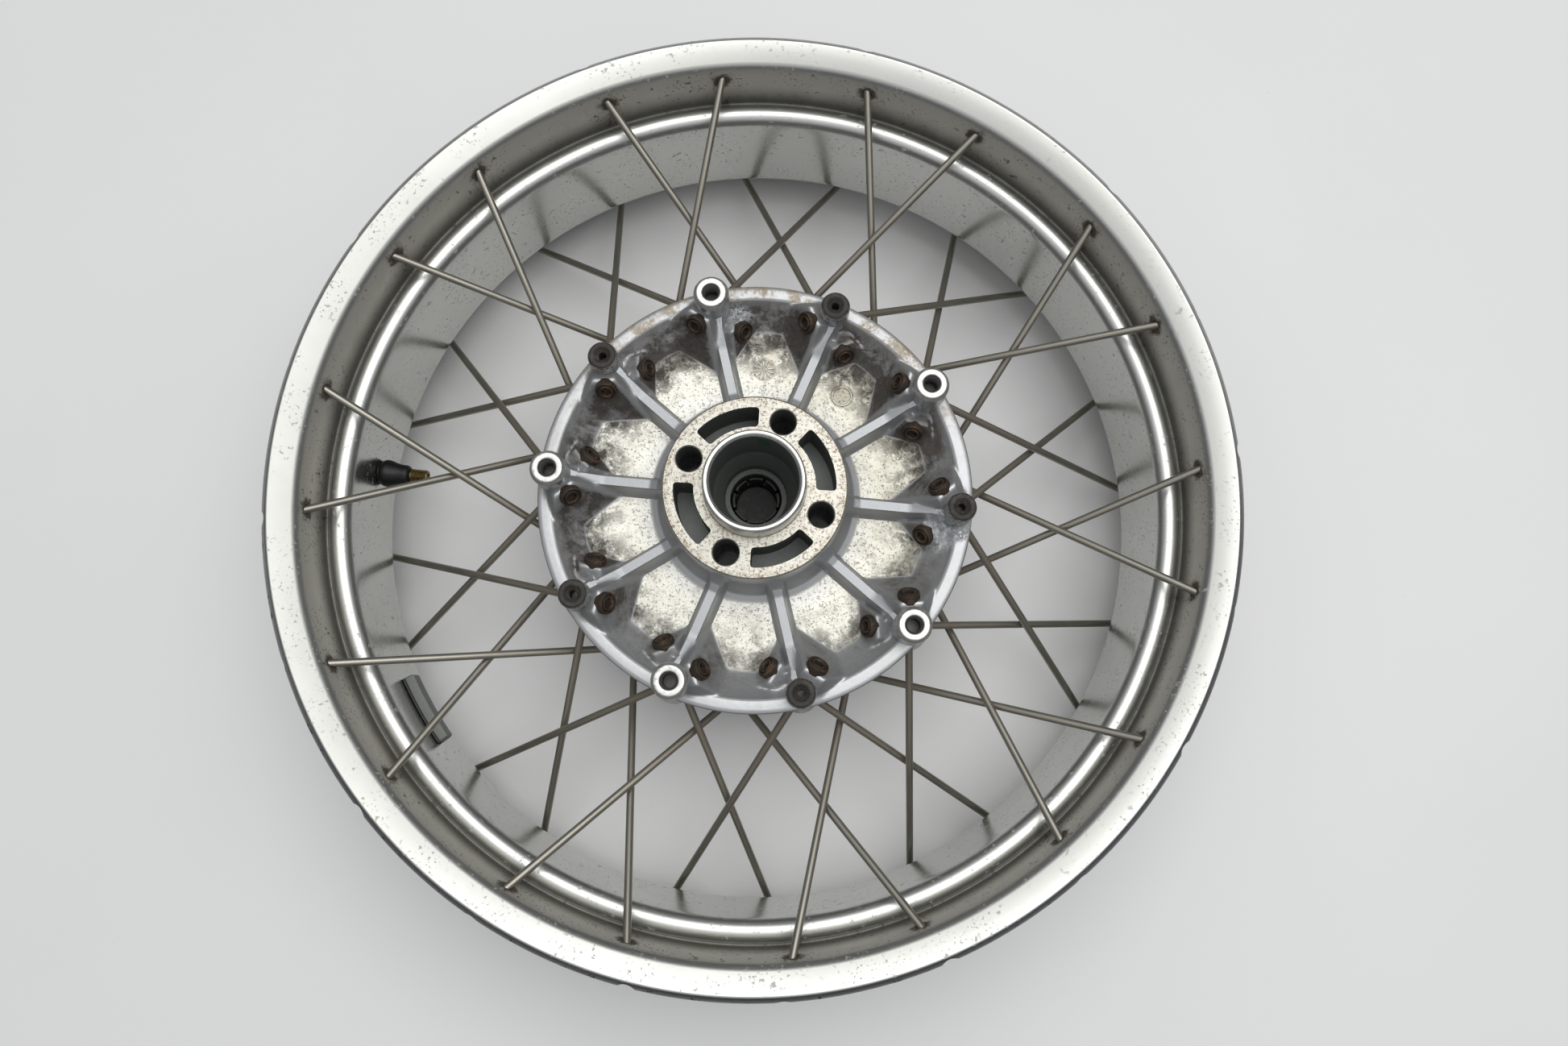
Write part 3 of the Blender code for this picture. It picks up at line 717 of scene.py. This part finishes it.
def column_angles(radius, under):
    """Angles of the hub grid's columns at one radius. Thirteen of each fifty run beside a rib at
    fixed distances from its middle, and the rest spread evenly. Ribs on top stand at the bosses
    and ribs underneath halfway between, so under=1 gathers the columns there instead."""
    k = np.arange(PER_SECTOR)
    inner = len(RIB_OFFSETS) - 1

    def from_rib(centre_column):
        j = (k - centre_column + PER_SECTOR // 2) % PER_SECTOR - PER_SECTOR // 2
        turns = (k - j - centre_column) / PER_SECTOR * BOSS_PITCH
        beside = np.degrees(np.arcsin(RIB_OFFSETS / radius))
        n = np.abs(j)
        near = np.interp(n, np.arange(inner + 1), beside)
        far = beside[-1] + (n - inner) / (PER_SECTOR - 2 * inner) * (BOSS_PITCH - 2 * beside[-1])
        return np.sign(j) * np.where(n <= inner, near, far) + turns

    on_top = from_rib(0)
    below = from_rib(PER_SECTOR // 2) + BOSS_PITCH / 2
    mixed = on_top * (1.0 - under) + below * under
    return (BOSS_ANGLE + (mixed[None, :] + BOSS_PITCH * np.arange(BOSS_COUNT)[:, None])).ravel()


def pad_height(x, y, own_side, family, hand, sign):
    """Height of the wedge an adjuster sits on. It follows its spoke a little above it (sign 1)
    or below it (sign -1), ends in a facet square to the spoke, and stays on its own side of the
    rib, toward which its crown falls away. own_side is how far inside its own half of the
    pocket a point lies, in millimetres, and one or more is well inside."""
    back = FACET_BACK[family, hand]
    best = np.full(x.shape, -1e9 if sign > 0 else 1e9)
    for number in range(BOSS_COUNT):
        start, seat = spoke_line(family, hand, number)
        run = start - seat
        level = math.hypot(run[0], run[1])
        climb = run[2] / level
        u = ((x - seat[0]) * run[0] + (y - seat[1]) * run[1]) / level
        v = ((x - seat[0]) * run[1] - (y - seat[1]) * run[0]) / level
        rib_side = v * hand * sign
        away = np.clip(rib_side - 4.8, 0.0, None) * 1.7 + np.clip(-rib_side - 6.5, 0.0, None) * 2.0
        crown = seat[2] + climb * u + sign * (6.2 - away)
        facet = seat[2] - u / climb - sign * back * math.hypot(1.0, climb) / abs(climb)
        top = smooth_min(crown, facet, 2.6) if sign > 0 else smooth_max(crown, facet, 2.6)
        top = top - sign * np.clip(1.0 - own_side, 0.0, None) * 8.0
        top = np.where((u > 34.0) | (np.abs(v) > 24.0), -sign * 1e9, top)
        best = np.maximum(best, top) if sign > 0 else np.minimum(best, top)
    return best


def hub_top(x, y, radius, folded_offset):
    """Height of the hub's upper face: pocket floor, wall up to the outer band, wedges, ribs."""
    wall = np.interp(radius, [44.0, 44.7, 46.2, 49.0, 53.0, 85.0, 87.0, 89.5, 95.5, 98.8, 100.2,
                              101.4, 103.0, 110.0],
                     [110.0, 104.5, 99.6, 95.9, 94.0, 94.0, 94.5, 96.2, 101.2, 104.4, 106.1,
                      106.7, 106.8, 106.8])
    height = wall
    for hand in (1, -1):
        pad = pad_height(x, y, folded_offset * hand, "lower", hand, 1)
        pad = np.minimum(pad, 106.8 + np.clip(103.5 - radius, 0.0, None) * 1.5)
        height = smooth_max(height, pad, 2.2 * smooth_step(104.0, 101.0, radius) + 0.01)
    crest = np.interp(radius, [41.0, 44.7, 49.0, 52.5, 75.5, 77.5, 97.0, 101.0],
                      [112.3, 110.2, 106.3, 105.1, 105.1, 105.5, 111.6, 112.5])
    flare = 2.2 + 1.6 * smooth_step(86.0, 97.0, radius) + 1.2 * smooth_step(52.0, 45.0, radius)
    rib = crest - np.clip(np.abs(folded_offset) - flare, 0.0, None) ** 1.4 * 4.5
    rib = np.where(radius > 100.0, -1e9, rib)
    return smooth_max(height, rib, 2.4)


def hub_under(x, y, radius, base, folded_offset):
    """Height of the hub's lower face: a deep dish with ribs, and wedges for the upper spokes."""
    height = base
    for hand in (1, -1):
        pad = pad_height(x, y, 1.0, "upper", hand, -1)
        height = np.where(radius < 101.4, smooth_min(height, np.maximum(pad, 34.0), 2.0), height)
    crest = np.interp(radius, [44.0, 56.0, 80.0, 101.0], [66.0, 58.0, 43.0, 35.5])
    rib = crest + np.clip(np.abs(folded_offset) - 2.2, 0.0, None) ** 1.5 * 6.0
    rib = np.where(radius > 101.5, 1e9, rib)
    return smooth_min(height, rib, 2.4)


def build_hub_dish():
    """The ribbed dish as one closed grid. Its rows follow the section from the flange out over
    the pockets, down the waisted outside, and back in underneath."""
    top_r = np.concatenate([[43.6, 44.7], np.linspace(45.2, 54.0, 12), np.linspace(55.0, 99.0, 54),
                            np.linspace(99.5, 103.0, 10), [105.0, 106.9]])
    side = rounded([(106.9, 106.8, 0.0), (107.5, 106.2, 0.5), (107.3, 97.0, 3.0),
                    (103.8, 87.5, 4.0), (103.8, 52.5, 4.0), (107.3, 43.0, 3.0),
                    (107.5, 33.6, 0.5), (106.9, 33.0, 0.0)], 3, closed=False)[1:]
    low = rounded([(106.9, 33.0, 0.0), (101.9, 33.0, 0.8), (100.2, 40.0, 1.5), (97.0, 74.0, 4.0),
                   (88.0, 82.0, 5.0), (54.0, 82.0, 4.0), (46.0, 72.4, 3.0), (43.6, 72.4, 0.0)],
                  4, closed=False)
    low = dense(low, 1.35)[1:]
    rows, heights = [], []
    for r in top_r:
        angles = column_angles(r, 0.0)
        x, y = circle(r, angles)
        fold = (angles - BOSS_ANGLE + BOSS_PITCH / 2) % BOSS_PITCH - BOSS_PITCH / 2
        offset = circle(r, fold)[1]
        rows.append((x, y))
        heights.append(hub_top(x, y, np.full(x.shape, r), offset))
    for i, (r, z) in enumerate(side):
        angles = column_angles(r, float(smooth_step(0, len(side) - 1, i)))
        rows.append(circle(r, angles))
        heights.append(np.full(angles.shape, z))
    for r, z in low:
        angles = column_angles(r, 1.0)
        x, y = circle(r, angles)
        fold = (angles - BOSS_ANGLE) % BOSS_PITCH - BOSS_PITCH / 2
        offset = circle(r, fold)[1]
        rows.append((x, y))
        heights.append(hub_under(x, y, np.full(x.shape, r), np.full(x.shape, z), offset))
    x, y = (np.array([row[i] for row in rows]) for i in (0, 1))
    z = np.array(heights)
    count, columns = x.shape
    points = np.stack([x, y, z], -1).reshape(-1, 3)
    # The rows run outward on top, so the quads are turned over to face up.
    faces = grid_faces(count, columns, close_rows=True, close_columns=True)[:, ::-1]
    add_piece("hub_dish", points, [faces], HUB_PAINT, sharp=50.0, **HUB)


def arc_well(angle):
    """An arc-shaped pocket between two bolt holes, for cutting, deeper than the flange face: two
    arcs round the axle joined by ends that point at it, with rounded corners."""
    inner, outer, low, high, half, count = 29.4, 39.2, 98.0, 130.0, 25.0, 22
    t = np.radians(np.linspace(-half, half, count) + angle)
    ring = np.stack([np.cos(t), np.sin(t)], 1)
    outline = np.vstack([outer * ring, inner * ring[::-1]])
    # Points beside a corner would stop its rounding short, so they are left out.
    keep = [i for i in range(2 * count) if i % count not in (1, 2, count - 3, count - 2)]
    corner = {0, count - 1, count, 2 * count - 1}
    outline = rounded([(*outline[i], 2.1 if i in corner else 0.0) for i in keep], 5)
    n = len(outline)
    points = np.vstack([np.c_[outline, np.full(n, low)], np.c_[outline, np.full(n, high)]])
    i = np.arange(n)
    walls = np.stack([i, (i + 1) % n, (i + 1) % n + n, i + n], 1)
    return points, [walls, [list(range(n))[::-1]], [list(range(n, 2 * n))]]


def build_hub_core():
    """The flange with its pilot tube, turned, then drilled for the wheel bolts and hollowed by
    four arc-shaped wells."""
    outline = rounded([
        (13.0, 72.0, 0.5), (44.6, 72.0, 0.8), (44.7, 123.4, 0.9), (44.0, 124.2, 0.3),
        (24.7, 124.2, 0.5), (24.5, 138.2, 0.7), (23.7, 139.2, 0.5), (22.3, 139.2, 0.5),
        (21.0, 137.6, 0.6), (21.0, 108.0, 0.8), (19.6, 106.0, 0.8), (15.6, 99.0, 0.8),
        (15.6, 92.0, 0.3), (13.0, 92.0, 0.4)], 4)
    core = turned("hub_flange", outline, FLANGE_METAL, HUB_STEPS, loop=True, sharp=None, **HUB)
    shapes, sinks = [], []
    for quarter in range(4):
        bolt = polar(WHEEL_BOLT_CIRCLE_R, WHEEL_BOLT_ANGLE + 90.0 * quarter)
        low, high = bolt + (0, 0, 60.0), bolt + (0, 0, 130.0)
        shapes.append(rod(low, high, WHEEL_BOLT_HOLE_R, 48))
        sinks.append(rod(bolt + (0, 0, 123.5), bolt + (0, 0, 125.5), WHEEL_BOLT_HOLE_R - 0.2, 48,
                         WHEEL_BOLT_HOLE_R + 1.8))
        shapes.append(arc_well(WHEEL_BOLT_ANGLE + 45.0 + 90.0 * quarter))
    cut(cut(core, shapes), sinks)


def build_bosses():
    """Ten screw bosses round the band: five with a bright chamfered face and a threaded hole,
    five lower ones that hold a steel insert."""
    for number in range(BOSS_COUNT):
        centre = polar(BOSS_CIRCLE_R, BOSS_ANGLE - BOSS_PITCH * number)
        name = f"hub_boss_{number + 1:02d}"
        if number % 2 == 0:
            corners = [(10.6, 93.0, 0), (9.2, 101.0, 2.5), (8.8, 104.0, 2.0), (8.8, 122.2, 0.8),
                       (7.4, 124.3, 0.6), (6.9, 124.5, 0.3), (4.6, 124.5, 0.4), (4.1, 123.8, 0.3)]
            thread = [(4.1 - 0.75 * (i % 2), 123.4 - 0.62 * i, 0.0) for i in range(17)]
            corners += thread + [(3.5, 112.9, 0.4)]
            turned(name, rounded(corners, 3, closed=False), BRIGHT_BOSS, 56, centre, **HUB)
        else:
            corners = [(9.4, 93.0, 0), (7.9, 101.0, 2.5), (7.35, 104.0, 2.0), (7.3, 119.9, 0.5),
                       (6.7, 120.8, 0.4), (5.55, 120.8, 0.3), (5.5, 111.5, 0.3)]
            turned(name, rounded(corners, 3, closed=False), DARK_BOSS, 48, centre, **HUB)
            insert = rounded([(1.9, 111.9, 0.2), (4.9, 111.9, 0.3), (5.0, 121.1, 0.1),
                              (6.7, 121.1, 0.15), (6.7, 121.45, 0.2), (6.1, 122.0, 0.3),
                              (4.3, 122.0, 0.4), (2.9, 120.4, 0.4), (1.9, 119.6, 0.3)], 3)
            turned(f"boss_insert_ring_{number // 2 + 1}", insert, INSERT_STEEL, 44, centre,
                   loop=True, instead=[f"boss_insert_{number // 2 + 1}"], slot="rusted_steel")


# ---------------------------------------------------------------- spokes and small pieces

def lobes(radius, height, turn):
    """Six shallow grooves in the sides of an adjuster's socket."""
    return np.where((radius < 2.5) & (radius > 1.5) & (height < 3.0),
                    radius * (1.0 + 0.09 * np.cos(6 * turn)), radius)


def build_spokes():
    """Forty wires, each with a round head outside the rim and a socket-headed adjuster seated on
    its wedge in the hub."""
    for name, family, hand, start, seat in all_spokes():
        away = unit(start - seat)
        length = float(np.linalg.norm(start - seat))
        wire = rounded([(SHAFT_R, 8.0, 0), (SHAFT_R, length * 0.5, 0), (SHAFT_R, length + 12.0, 0),
                        (3.7, length + 12.4, 0.5), (3.7, length + 14.4, 1.2),
                        (1.2, length + 16.9, 1.6)], 3, closed=False)
        turned(f"spoke_wire_{name}", wire, SPOKE_STEEL, 16, seat, away,
               instead=[f"spoke_{name}"], slot="spoke_steel")
        face = FACET_BACK[family, hand] - 3.3
        adjuster = rounded([(1.0, face + 2.8, 0), (2.3, face + 2.8, 0.15), (2.4, face + 0.6, 0.2),
                            (2.9, face, 0.3), (3.5, face, 0.3), (3.8, face + 1.1, 0.2),
                            (4.3, face + 1.1, 0.2), (4.6, face + 0.1, 0.3),
                            (5.2, face + 0.3, 0.4), (5.45, face + 1.2, 0.5),
                            (5.45, face + 5.0, 0.4), (SLEEVE_R, face + 5.2, 0.2),
                            (SLEEVE_R, 22.0, 0.8), (SHAFT_R + 0.05, 23.5, 0)], 3, closed=False)
        turned(f"spoke_adjuster_{name}", adjuster, ADJUSTER_STEEL, 30, seat, away, wave=lobes,
               instead=[f"spoke_{name}"], slot="rusted_steel")


def build_valve():
    """Snap-in valve: a rubber foot that tapers up to a threaded brass stem, with its core and the
    pin that a gauge presses."""
    inward = polar(-1.0, VALVE_ANGLE)
    foot = polar(BARREL_R, VALVE_ANGLE, VALVE_HEIGHT)
    place = dict(origin=foot, axis=inward)
    body = rounded([(2.9, -12.0, 0.3), (4.0, -12.0, 0.6), (7.2, -9.0, 0.9), (8.2, -4.9, 0.5),
                    (5.7, -4.85, 0.3), (5.6, 0.75, 0.3), (6.4, 0.85, 0.4), (7.6, 3.6, 2.0),
                    (6.2, 7.6, 2.4), (5.4, 11.0, 2.0), (5.3, 14.6, 0.9), (4.2, 15.9, 0.5),
                    (2.9, 15.9, 0.2)], 4)
    turned("valve_rubber_foot", body, RUBBER, 56, loop=True, instead=["valve_body"],
           slot="rubber", **place)
    thread = [(3.8 - 0.55 * (i % 2), 17.2 + 0.58 * i, 0.0) for i in range(14)]
    stem = rounded([(2.1, -12.4, 0.2), (2.6, -12.4, 0.2), (2.6, 16.2, 0.1), (3.7, 16.2, 0.2)]
                   + thread + [(3.3, 25.4, 0.2), (2.1, 25.4, 0.2)], 2)
    turned("valve_brass_stem", stem, BRASS, 44, loop=True, instead=["valve_stem"],
           slot="brass", **place)
    core = rounded([(0.8, 14.0, 0.1), (1.8, 14.0, 0.2), (1.8, 21.0, 0.2), (1.3, 21.6, 0.1),
                    (1.3, 24.4, 0.15), (0.8, 24.4, 0.15)], 2)
    turned("valve_core_barrel", core, BRASS, 28, loop=True, instead=["valve_core"],
           slot="brass", **place)
    pin = rounded([(0.35, 5.0, 0), (0.5, 5.15, 0.1), (0.5, 11.6, 0.05), (1.5, 11.6, 0.1),
                   (1.5, 13.7, 0.1), (0.5, 13.7, 0.05), (0.5, 24.7, 0.15), (0.3, 24.9, 0)], 2,
                  closed=False)
    turned("valve_pin_rod", pin, CORE_STEEL, 20, body="valve_pin", instead=["valve_core_pin"],
           slot="bright_steel", **place)


def build_cap():
    """The push-in centre cap: a black cup whose upper ring is split into eight fingers."""
    outline = rounded([(1.0, 68.6, 0), (15.4, 68.6, 0.6), (17.5, 70.2, 0.4), (17.5, 71.7, 0.3),
                       (12.45, 71.7, 0.5), (12.45, 87.3, 0.4), (12.0, 88.5, 0.35),
                       (10.7, 88.5, 0.3), (10.6, 71.2, 0.8), (1.0, 71.0, 0)], 3, closed=False)
    cap = turned("centre_cap_cup", dense(outline, 3.0), PLASTIC, 96, sharp=None, body="cap",
                 instead=["centre_cap"], slot="black_plastic")
    shapes = []
    for finger in range(8):
        angle = 22.5 + 45.0 * finger
        along, across = polar(1.0, angle), polar(1.0, angle + 90.0)
        corners = [along * r + across * side * 0.8 + np.array([0, 0, z])
                   for z in (79.0, 90.0)
                   for r, side in ((9.5, -1), (13.5, -1), (13.5, 1), (9.5, 1))]
        shapes.append((np.array(corners), [BOX_FACES]))
    cut(cap, shapes)


def curved_block(name, inner, outer, low, high, finish, corner, **kind):
    """A bar bent along the barrel: a rounded rectangle carried through the weight's angle and
    closed at both ends, where the section shrinks to round the corners off."""
    section = rounded([(inner, low, corner), (outer, low, corner), (outer, high, corner),
                       (inner, high, corner)], 3)
    t = np.linspace(-1.0, 1.0, 61)
    end = np.clip((np.abs(t) - 0.94) / 0.06, 0, 1)
    shrink = 1.0 - 0.22 * (1 - np.sqrt(np.clip(1 - end ** 2, 0, 1)))
    middle = np.array([outer, (low + high) / 2])
    pieces = middle + (section[None] - middle) * shrink[:, None, None]
    a = np.radians(WEIGHT_ANGLE + t * WEIGHT_SPAN / 2)[:, None]
    points = np.stack([pieces[..., 0] * np.cos(a), pieces[..., 0] * np.sin(a), pieces[..., 1]], -1)
    rows, columns = len(t), len(section)
    faces = grid_faces(rows, columns, close_columns=True)
    caps = [[list(range(columns))[::-1]], [list(range((rows - 1) * columns, rows * columns))]]
    add_piece(name, points.reshape(-1, 3), [faces, *caps], finish, sharp=CREASE, **kind)


def build_weight():
    """The balance weight: a grey bar on a strip of foam tape."""
    curved_block("balance_weight_bar", 196.3, 201.1, 60.1, 69.3, ZINC, 0.5,
                 instead=["balance_weight"], slot="zinc")
    curved_block("balance_weight_foam", 201.3, 202.2, 59.8, 69.6, TAPE, 0.3,
                 instead=["balance_weight_tape"], slot="foam_tape")


def build_cast_marks():
    """Plain cast marks with no lettering: a dial of twelve raised strokes and a raised ring."""
    for i in range(12):
        out = np.array(circle(1.0, 30.0 * i + 8.0))
        side = np.array([-out[1], out[0]])
        corners = []
        for z, grow in ((93.8, 0.45), (94.35, 0.25)):
            for along, across in ((1.7, -1), (5.4, -1.2), (5.4, 1.2), (1.7, 1)):
                p = np.array(circle(*DIAL_MARK)) + out * along + side * across * grow
                corners.append((*p, z))
        add_piece(f"cast_dial_stroke_{i + 1:02d}", corners, [BOX_FACES], HUB_PAINT,
                  smooth=False, **HUB)
    ring = rounded([(4.2, 93.7, 0.1), (5.6, 93.7, 0.1), (5.3, 94.45, 0.2), (4.5, 94.45, 0.2)], 3)
    turned("cast_ring_mark", ring, HUB_PAINT, 56, polar(*RING_MARK), loop=True, **HUB)


# ---------------------------------------------------------------- floor, light, camera

def build_floor():
    """A wide flat board just under the wheel."""
    u = np.linspace(-1600.0, 1600.0, 65)
    x, y = np.meshgrid(u, u, indexing="ij")
    points = np.stack([x, y, np.full_like(x, FLOOR_Z)], -1).reshape(-1, 3)
    mesh = bpy.data.meshes.new("floor_board")
    mesh.from_pydata((points * MM).tolist(), [], grid_faces(65, 65).tolist())
    mesh.materials.append(floor_paint())
    put("floor_board", mesh)


def build_light():
    """A room that is dark at the horizon and bright overhead, and one wide soft lamp that faces
    the wheel."""
    world = bpy.data.worlds.new("soft_room")
    bpy.context.scene.world = world
    world.use_nodes = True
    tree = world.node_tree
    back = tree.nodes["Background"]
    back.inputs["Strength"].default_value = 0.68
    way, parts, ramp = (tree.nodes.new("ShaderNode" + kind)
                        for kind in ("TexCoord", "SeparateXYZ", "ValToRGB"))
    stops = [(0.0, (0.05, 0.052, 0.055)), (0.28, (0.11, 0.115, 0.12)), (0.52, (0.48, 0.49, 0.50)),
             (0.68, (1.0, 1.0, 1.0))]
    while len(ramp.color_ramp.elements) < len(stops):
        ramp.color_ramp.elements.new(0.5)
    for element, (place, colour) in zip(ramp.color_ramp.elements, stops):
        element.position, element.color = place, (*colour, 1.0)
    tree.links.new(way.outputs["Generated"], parts.inputs[0])
    tree.links.new(parts.outputs[2], ramp.inputs[0])
    tree.links.new(ramp.outputs[0], back.inputs["Color"])

    data = bpy.data.lights.new("ceiling_lamp", "AREA")
    data.shape, data.size, data.size_y = "RECTANGLE", 2.2, 1.6
    data.energy, data.color = 27.0, (1.0, 0.99, 0.965)
    lamp = put("ceiling_lamp", data)
    lamp.location = (0.35, 0.45, 2.2)
    lamp.rotation_euler = (-Vector(lamp.location)).to_track_quat("-Z", "Y").to_euler()
    bpy.context.scene.view_settings.view_transform = "Standard"


def build_camera():
    """Above the wheel and a little toward its near side, leaning back to face it."""
    data = bpy.data.cameras.new("camera")
    data.sensor_width, data.lens = 36.0, 24.97
    data.clip_start, data.clip_end = 0.01, 20.0
    camera = put("camera", data)
    camera.rotation_mode = "QUATERNION"
    lean = Vector((math.radians(9.48), math.radians(-0.42), 0.0))
    camera.rotation_quaternion = Matrix.Rotation(lean.length, 3, lean.normalized()).to_quaternion()
    camera.location = (0.0102, -0.1028, 0.6338)
    bpy.context.scene.camera = camera


build_rim()
build_hub_dish()
build_hub_core()
build_bosses()
build_spokes()
build_valve()
build_cap()
build_weight()
build_cast_marks()
build_floor()
build_light()
build_camera()
